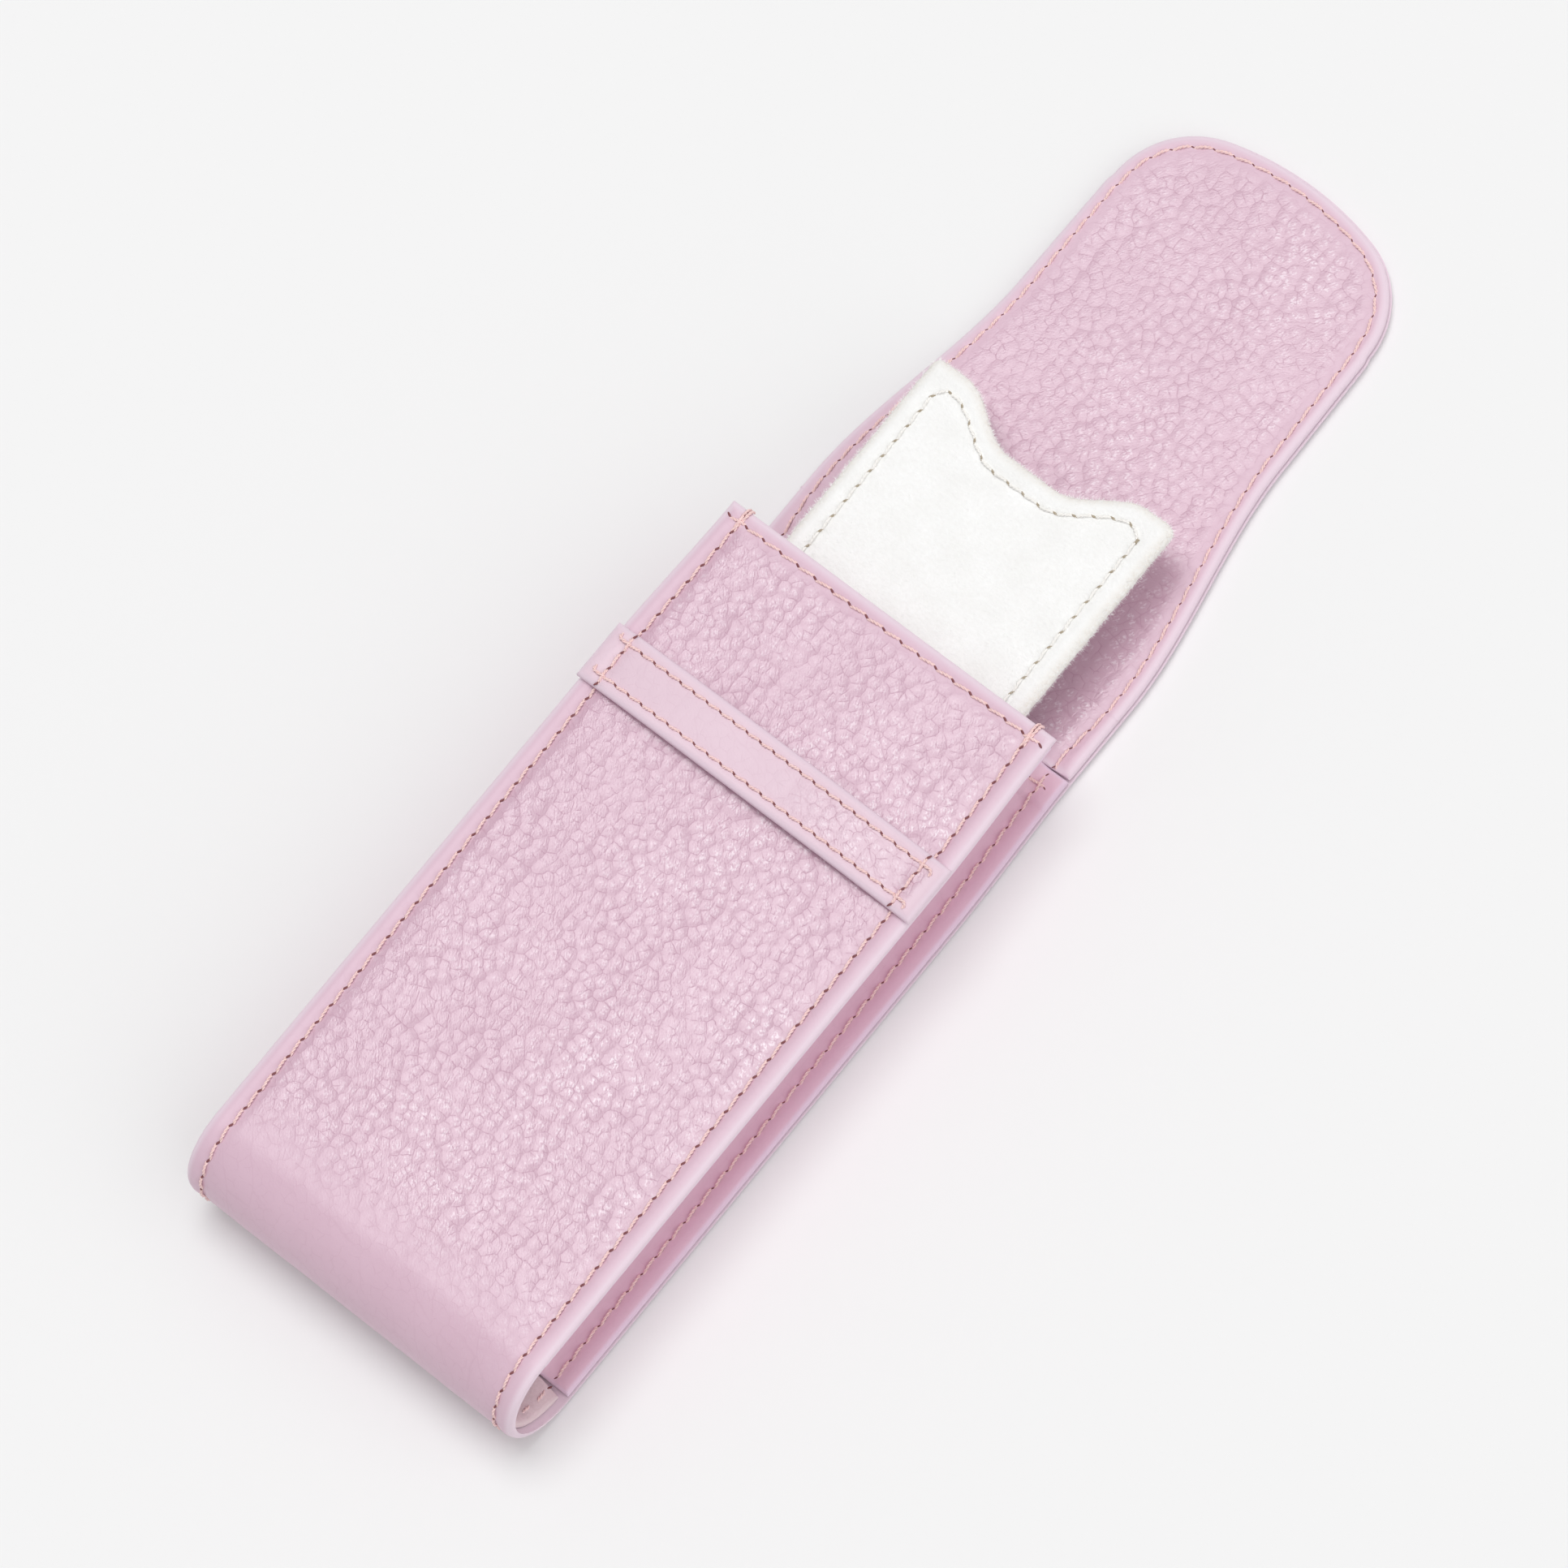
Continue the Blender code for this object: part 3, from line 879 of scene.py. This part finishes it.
def rounded(corners, rounds, steps=8):
    """A drawn path through these corners, each inner one rounded by this much."""
    path = [corners[0]]
    for index, round_length in zip(range(1, len(corners) - 1), rounds):
        corner = Vector(corners[index])
        arrive = corner + (Vector(corners[index - 1]) - corner).normalized() * round_length
        leave = corner + (Vector(corners[index + 1]) - corner).normalized() * round_length
        for share in spaced(0, 1, steps):
            path.append(tuple(arrive.lerp(corner, share).lerp(corner.lerp(leave, share), share)))
    path.append(corners[-1])
    return path


gusset_flange_z = gusset_low.z + gusset_thickness
gusset_limb_x = gusset_high.x - gusset_flange_width + gusset_thickness / 2
gusset_fold_x = gusset_high.x - gusset_fold_depth + gusset_thickness / 2
gusset_corners = [
    (gusset_high.x, body_depth - gusset_flange_z),
    (gusset_limb_x, body_depth - gusset_flange_z),
    (gusset_fold_x, body_depth / 2),
    (gusset_limb_x, gusset_flange_z),
    (gusset_high.x, gusset_flange_z),
]
gusset_place, gusset_length = follow(rounded(gusset_corners, gusset_rounds), 1)
gusset_middle_y = (gusset_low.y + gusset_high.y) / 2
gusset_half_length = (gusset_high.y - gusset_low.y) / 2
# A copy of the outer leather in paler colours: painted light that lifts the shade in the folded sides. The
# strap's lining uses it too.
gusset_leather_painted_light = leather(
    "pink_gusset_leather_painted_light", (0.81, 0.560, 0.673), (0.62, 0.358, 0.470), (0.80, 0.60, 0.74),
    bump_share=0.9, gloss=0.42, turn_deg=84
)


def gusset_outline(across, along):
    """The flanges run out to the edges of the panels, which taper towards the mouth."""
    place = across * gusset_half_length
    spare = half_width_at(gusset_middle_y + place) - gusset_edge_inset - gusset_high.x
    return place, between(-spare, gusset_length + spare, along)


def hem_rise(along, _s=0):
    """The turned hem is thicker than the rest of the gusset."""
    from_hem = along - (gusset_half_length - gusset_hem_height)
    return gusset_hem_rise * smooth(from_hem / gusset_hem_rise)


# The back flange's share of the side seam runs on from the flap's.
gusset_seam = []
for y in spaced(gusset_high.y - gusset_thickness, gusset_low.y + gusset_thickness, 60):
    x = half_width_at(y) - seam_inset_at(y)
    gusset_seam.append((y - gusset_middle_y, gusset_length - (gusset_high.x - x)))
hem_seam_y = gusset_half_length - gusset_hem_seam_depth
hem_seam_end = gusset_length - gusset_flange_width / 3
gusset_seams = [gusset_seam, [(hem_seam_y, gusset_flange_width), (hem_seam_y, hem_seam_end)]]
for name, side in (("right_gusset", 1), ("left_gusset", -1)):

    def gusset_bend(along, s, height, side=side):
        x, z = gusset_place(s, height)
        return Vector((side * x, gusset_middle_y + along, z))

    def gusset_rise(along, s, side=side):
        """The thin leather has soft wrinkles between its flanges."""
        start, end = gusset_wrinkle_margins
        in_fold = smooth((s - start) / gusset_wrinkle_fade)
        in_fold *= smooth((gusset_length - end - s) / gusset_wrinkle_fade)
        place = (along / gusset_wrinkle_along, s / gusset_wrinkle_across, side)
        return hem_rise(along) + gusset_wrinkle_height * noise.noise(place) * in_fold

    gusset = make_sheet(
        name + "_leather", (2 * gusset_half_length, gusset_length, gusset_outline),
        gusset_seams, gusset_bend, gusset_leather_painted_light, gusset_thickness,
        roll=gusset_roll, grain_share=gusset_grain_share, rise=gusset_rise
    )
    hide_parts(name)
    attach(gusset, "pouch")
    sew(name + "_stitches", gusset_seams, gusset_bend, ground=hem_rise, hole_share=tight_hole)


# The suede lining
# Taupe suede lines the front panel, the bend and the back as far as the facing. It is wider in
# the open bend, where it reaches the leather's edge.
lining_low, lining_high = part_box("body_lining")
lining_panel_half = facing_high.x
lining_bend_half = lining_high.x
lining_thickness = 0.0007
lining_bend_depth = leather_thickness + lining_thickness + 0.0002
lining_slope = 0.006
lining_round = 0.002
lining_pitch = 0.001
lining_flare = 0.0003
lining_roll = (0.0004, 0.0003)
suede_patch_size = 0.006


def suede(name, colour, shade, rim, nap_size, nap_depth):
    """Suede: a short matte nap that lies in patches, and duller where it is cut."""
    made, tree, shader = new_material(name)
    flat = attribute(tree, "flat", "Vector")
    nap = mottle(flat, nap_size, 5, roughness=0.65)
    tone = ramp(times(mottle(flat, suede_patch_size, 4), nap), 0.12, 0.42, 1, 0)
    cut_share = times(attribute(tree, "border"), ramp(nap, 0.3, 0.6, 0.2, 1))
    bump = add(tree, "ShaderNodeBump", {"Height": nap, "Distance": nap_depth})
    feed(shader, {"Base Color": mix(cut_share, mix(tone, colour, shade), rim), "Normal": bump})
    feed(shader, {"Roughness": 0.95, "Specular IOR Level": 0.1})
    return made


taupe_suede = suede(
    "taupe_suede", (0.95, 0.80, 0.83), (0.84, 0.67, 0.70), (0.80, 0.64, 0.67), 0.0005, 0.0001
)
lining_front_z = lining_high.z - lining_thickness
lining_back_z = lining_low.z + lining_thickness
lining_front = [
    (wrap_high.y, lining_front_z),
    (bend_y + lining_slope, lining_front_z),
    (bend_y, body_depth - lining_bend_depth),
]
lining_back = [
    (bend_y + grid_pitch, lining_bend_depth),
    (bend_y + lining_slope, lining_back_z),
    (facing_low.y - 0.0003, lining_back_z),
]
lining_path = rounded(lining_front, (lining_round,))
lining_path += arc((bend_y, bend_radius), bend_radius - lining_bend_depth, 90, 270, bend_steps)[1:]
lining_path += rounded(lining_back, (lining_round,))
lining_bend, lining_place, lining_length = lengthways(lining_path, 1)


def lining_outline(across, along):
    s = lining_length * along
    share = smooth((bend_y - lining_place(s, 0).x) / lining_flare)
    return across * between(lining_panel_half, lining_bend_half, share), s


# The side seams show on the lining round the open bend.
seam_x = body_half_width - side_seam_inset
round_bend = [s for s in spaced(0, lining_length, 400)[:-1] if lining_place(s, 0).x < bend_y]
lining_seams = [[(x, s) for s in round_bend] for x in (-seam_x, seam_x)]
lining = make_sheet(
    "suede_lining", (2 * lining_bend_half, lining_length, lining_outline), [], lining_bend,
    taupe_suede, lining_thickness, roll=lining_roll, grain_share=0, embossed=False,
    pitch=lining_pitch
)
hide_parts("body_lining")
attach(lining, "pouch")
sew("lining_stitches", lining_seams, lining_bend)


# The boards
# A grey card stiffens each panel, glued between the leather and the lining where none of it
# shows. The cards keep the model's own shape.
card = flecked("grey_card", (0.50, 0.49, 0.46), (0.38, 0.37, 0.35), 0.0012, 4, 0.85)
for node_name in ("back_board", "front_board"):
    board = frame["nodes"][node_name]
    board.data.materials.clear()
    board.data.materials.append(card)


# The keeper strap
# A lined strap across the front, sewn into both side seams, which the flap's tongue tucks under.
# Its long edges are turned and stitched, and it arches a little over the panel.
strap_low, strap_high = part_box("keeper_strap")
strap_thickness = 0.0011
strap_end_top = body_depth + 0.0013
strap_middle_top = strap_high.z - 0.0003
strap_arch_power = 4
strap_arch_steps = 60
strap_pitch = 0.0004
strap_seam_inset = 0.0021
strap_end_seam_inset = 0.0041
strap_end_seam_margin = 0.0006
strap_stitch_pitch = 0.0028
strap_roll = (0.0012, 0.0007)
strap_grain_fade = 0.0013
strap_half_width = (strap_high.y - strap_low.y) / 2
strap_middle_y = (strap_high.y + strap_low.y) / 2
strap_path = []
for x in spaced(-strap_high.x, strap_high.x, strap_arch_steps):
    arch = 1 - abs(x / strap_high.x) ** strap_arch_power
    strap_path.append((x, between(strap_end_top, strap_middle_top, arch)))
strap_place, strap_length = follow(strap_path, 1)


def strap_bend(across, s, height):
    x, z = strap_place(s, height)
    return Vector((x, strap_middle_y - across, z))


def strap_grain(_x, s):
    """The strap is worn smooth on the left."""
    return 0.25 + 0.65 * smooth((s / strap_length - 0.50) / 0.25)


# Two rows run along the strap and one across each end, with thread tails where they cross.
strap_row_x = strap_half_width - strap_seam_inset
strap_end_x = strap_half_width - strap_end_seam_margin
strap_end_places = (strap_end_seam_inset, strap_length - strap_end_seam_inset)
strap_seams = [[(x, s) for s in strap_end_places] for x in (-strap_row_x, strap_row_x)]
strap_end_seams = [[(-strap_end_x, s), (strap_end_x, s)] for s in strap_end_places]
strap_tail = ((0, -4, 0), (0, 12, 6), (-4, 21, 5), (9, 19, 1))
strap_tail_unit = 0.0001
strap_tails = []
for x in (-strap_row_x, strap_row_x):
    for s, out in zip(strap_end_places, (-1, 1)):
        crossing = Vector((x, s, 0))
        tail = [Vector((dx * out, ds * out, up)) * strap_tail_unit for dx, ds, up in strap_tail]
        strap_tails.append(curl(*(crossing + bend for bend in tail)))
# A copy of the outer leather in paler colours: a painted sheen on the smoother strap.
strap_leather_painted_sheen = leather(
    "pink_strap_leather_painted_sheen", (0.780, 0.600, 0.688), (0.540, 0.320, 0.415), (0.79, 0.630, 0.722), 0.5
)
strap = make_sheet(
    "keeper_strap_leather",
    (2 * strap_half_width, strap_length, lambda x, s: (x * strap_half_width, strap_length * s)),
    strap_seams + strap_end_seams, strap_bend, strap_leather_painted_sheen, strap_thickness, roll=strap_roll,
    grain_share=strap_grain, fade=strap_grain_fade, pitch=strap_pitch
)
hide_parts("keeper_strap")
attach(strap, "pouch")
sew("strap_stitches", strap_seams, strap_bend, pitch=strap_stitch_pitch)
sew("strap_end_stitches", strap_end_seams, strap_bend, loose=strap_tails)

# The strap's own lining is the gussets' leather, skived thin.
strap_lining_thickness = 0.0005
strap_lining_gap = 0.00004
strap_lining_margin = 0.0005
strap_lining_half = strap_half_width - strap_lining_margin
strap_lining_roll = (0.0003, 0.0002)
strap_lining_columns, strap_lining_rows = 20, 80


def strap_lining_outline(across, along):
    start, end = strap_lining_margin, strap_length - strap_lining_margin
    return across * strap_lining_half, between(start, end, along)


def strap_lining_bend(across, s, height):
    return strap_bend(across, s, height - strap_thickness - strap_lining_gap)


strap_lining = make_sheet(
    "keeper_strap_underside",
    (strap_lining_columns * grid_pitch, strap_lining_rows * grid_pitch, strap_lining_outline), [],
    strap_lining_bend, gusset_leather_painted_light, strap_lining_thickness, roll=strap_lining_roll,
    grain_share=0.1, embossed=False
)
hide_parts("keeper_strap_lining")
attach(strap_lining, "pouch")


# The divider
# A loose card covered on both faces with off-white suede, stitched all round in white, with a
# scooped notch between two corners in its top edge. A watch is closed round it.
divider_low, divider_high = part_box("divider_front_suede")
divider_back_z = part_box("divider_back_suede")[0].z
divider_half = divider_high.x
divider_corner_radius = 0.0014
divider_foot_radius = 0.0060
divider_notch_depth = 0.0062
divider_notch_half = divider_half - 0.0060
divider_floor_half = divider_notch_half * 0.27
divider_seam_inset = 0.0037
divider_seam_corner = 0.0016
divider_seam_foot_radius = 0.0030
divider_stitch_pitch = 0.0031
divider_thickness = divider_high.z - divider_back_z
divider_face_thickness = divider_thickness / 2 - 0.00002
divider_roll = (0.0020, 0.0010)
divider_rag = 0.00015
divider_rag_size = 0.0010
noise.seed_set(7)


def corner_fall(x, radius):
    """How far a rounded corner has fallen away at this place across."""
    into_corner = max(abs(x) - (divider_half - radius), 0)
    return radius - math.sqrt(max(radius**2 - into_corner**2, 0))


def divider_top_at(x):
    share = smooth((divider_notch_half - abs(x)) / (divider_notch_half - divider_floor_half))
    return divider_high.y - divider_notch_depth * share - corner_fall(x, divider_corner_radius)


def divider_outline(across, along):
    """The cut suede edge is a little ragged."""
    x = divider_half * math.sin(math.pi / 2 * across)
    foot = divider_low.y + corner_fall(x, divider_foot_radius)
    y = between(foot, divider_top_at(x), along)
    torn = noise.noise_vector((x / divider_rag_size, y / divider_rag_size, 0)) * divider_rag
    return x + torn.x, y + torn.y


# One line of stitches runs round the divider, a little inside its edge.
seam_x = divider_half - divider_seam_inset
seam_top = divider_top_at(seam_x) - divider_seam_inset - divider_seam_corner
divider_seam = [(seam_x, seam_top)]
for x in spaced(seam_x - divider_seam_corner, divider_seam_corner - seam_x, 40):
    divider_seam.append((x, divider_top_at(x) - divider_seam_inset))
divider_seam.append((-seam_x, seam_top))
foot_x = seam_x - divider_seam_foot_radius
foot_y = divider_low.y + divider_seam_inset + divider_seam_foot_radius
divider_seam += arc((-foot_x, foot_y), divider_seam_foot_radius, 180, 270, 6)
divider_seam += arc((foot_x, foot_y), divider_seam_foot_radius, 270, 360, 6)
divider_seam += divider_seam[:1]
divider_length = divider_high.y - divider_low.y
white_suede = suede(
    "white_suede", (1.0, 1.0, 0.995), (0.93, 0.925, 0.91), (0.86, 0.82, 0.77), 0.0007, 0.00020
)
white_thread = flecked("white_thread", (1.0, 0.99, 0.97), (0.94, 0.91, 0.86), **spun)
painted_suede_hole_shade = flecked("suede_hole_shade", (0.34, 0.29, 0.22), (0.51, 0.435, 0.33), **punched)


def ride_on_divider(piece):
    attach(piece, "divider")


for name, lay, nodes in (
    ("divider_front", laid(0, divider_high.z), ("divider_front_suede", "divider_board")),
    ("divider_back", laid(0, divider_back_z, -1), ("divider_back_suede",)),
):
    face = make_sheet(
        name + "_face", (2 * divider_half, divider_length, divider_outline), [divider_seam], lay,
        white_suede, divider_face_thickness, roll=divider_roll, grain_share=0, embossed=False
    )
    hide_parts(*nodes)
    ride_on_divider(face)
    sew(
        name + "_stitches", [divider_seam], lay, ride_on_divider, divider_stitch_pitch,
        thread=white_thread, painted_hole_shade=painted_suede_hole_shade
    )


# The suede's nap stands off its faces and its cut edges as short loose fibres.
fibre_length = 0.00062
fibre_width = 0.00007
rim_steps = 200
rim_fibres_per_metre = 30000
rim_fibre_band = 0.42
rim_fibre_spread = 0.55
rim_fibre_lengths = (0.7, 1.5)
face_fibres_across = 110
face_fibre_rise = 0.45
nap_noise = random.Random(7)


def stand_fibre(bm, root, lean, length):
    """One fibre: a thin pointed blade."""
    twisted = Vector(nap_noise.gauss(0, 1) for _ in range(3))
    side = lean.cross(twisted).normalized() * fibre_width / 2
    tip = root + lean.normalized() * length
    bm.faces.new([bm.verts.new(root - side), bm.verts.new(root + side), bm.verts.new(tip)])


bm = bmesh.new()
divider_middle_z = (divider_high.z + divider_back_z) / 2
shares = spaced(0, 1, rim_steps)
rim = [divider_outline(-1, share) for share in shares]
rim += [divider_outline(2 * share - 1, 1) for share in shares]
rim += [divider_outline(1, 1 - share) for share in shares]
rim += [divider_outline(1 - 2 * share, 0) for share in shares]
for start, end in zip(rim, rim[1:]):
    start, end = Vector(start), Vector(end)
    run = end - start
    out = Vector((-run.y, run.x, 0)).normalized()
    for _ in range(round(run.length * rim_fibres_per_metre)):
        place = start + run * nap_noise.random()
        level = nap_noise.uniform(-rim_fibre_band, rim_fibre_band)
        root = Vector((*place, divider_middle_z + divider_thickness * level)) - out * 0.0002
        lean = out + Vector(nap_noise.gauss(0, rim_fibre_spread) for _ in range(3))
        stand_fibre(bm, root, lean, fibre_length * nap_noise.uniform(*rim_fibre_lengths))
for _ in range(face_fibres_across**2):
    x, y = divider_outline(nap_noise.uniform(-0.97, 0.97), nap_noise.uniform(0.01, 0.99))
    for level, up in ((divider_high.z, 1), (divider_back_z, -1)):
        lean = Vector((nap_noise.gauss(0, 1), nap_noise.gauss(0, 1), up * face_fibre_rise))
        stand_fibre(bm, Vector((x, y, level - up * 0.00005)), lean, fibre_length)
nap = put_mesh("divider_nap", bm, white_suede)
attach(nap, "divider")


# The floor, the light and the camera
# A pale sweep under a soft light from the upper left, seen from the photograph's angle.
floor_half = 3.0
floor_drop = 0.0003
floor_grey = 0.887
floor_material, _tree, floor_shader = new_material("pale_floor")
feed(floor_shader, {"Base Color": (floor_grey, floor_grey, floor_grey, 1)})
feed(floor_shader, {"Roughness": 0.9, "Specular IOR Level": 0.0})
bm = bmesh.new()
bmesh.ops.create_grid(bm, x_segments=1, y_segments=1, size=floor_half)
bmesh.ops.translate(bm, verts=bm.verts, vec=(0, 0, -floor_drop))
floor = put_mesh("floor", bm, floor_material)


def shine(name, kind, energy, towards, **settings):
    """Adds a lamp whose light comes from this direction."""
    lamp = bpy.data.lights.new(name, kind)
    lamp.energy = energy
    for option, value in settings.items():
        setattr(lamp, option, value)
    made = put(name, lamp)
    made.rotation_mode = "QUATERNION"
    made.rotation_quaternion = towards.to_track_quat("Z", "Y")
    return made


# The window, a broad fill from the right that keeps the folded side open, and a small soft box
# that only shows in the leather's gloss.
shine("window", "SUN", 1.20, Vector((-0.13, 0.16, 0.97)), angle=math.radians(34))
shine("fill", "SUN", 0.70, Vector((0.70, 0.10, 0.70)), angle=math.radians(70))
glint_from = Vector((0.100, -0.060, 0.0215))
glint_towards = Vector((-0.479, 0.192, 1.622)).normalized()
glint_distance = 3.0
glint = shine("glint", "AREA", 2.3, glint_towards, shape="DISK", size=0.27)
glint.location = glint_from + glint_towards * glint_distance
glint.visible_diffuse = False
glint.visible_camera = False

# White all round, brighter in the gloss.
world_level = 0.50
world_gloss_level = 0.85
world = bpy.data.worlds.new("studio")
world.use_nodes = True
bpy.context.scene.world = world
in_gloss = add(world.node_tree, "ShaderNodeLightPath", {}, "Is Glossy Ray")
world_strength = ramp(in_gloss, 0, 1, world_level, world_gloss_level)
background = world.node_tree.nodes["Background"]
feed(background, {"Color": (1, 1, 1, 1), "Strength": world_strength})
bpy.context.scene.view_settings.view_transform = "Standard"

camera = bpy.data.cameras.new("camera")
camera.sensor_width = 36
camera.lens = 256.34
camera.clip_end = 20
camera_object = put("camera", camera)
camera_place = Vector((0.57895, -0.25155, 1.64386))
right = Vector((0.75446578, 0.63275465, -0.17436439))
up = Vector((-0.56674458, 0.76205547, 0.31316455))
turned = Matrix((right, up, right.cross(up))).transposed().to_4x4()
camera_object.matrix_world = Matrix.Translation(camera_place) @ turned
bpy.context.scene.camera = camera_object
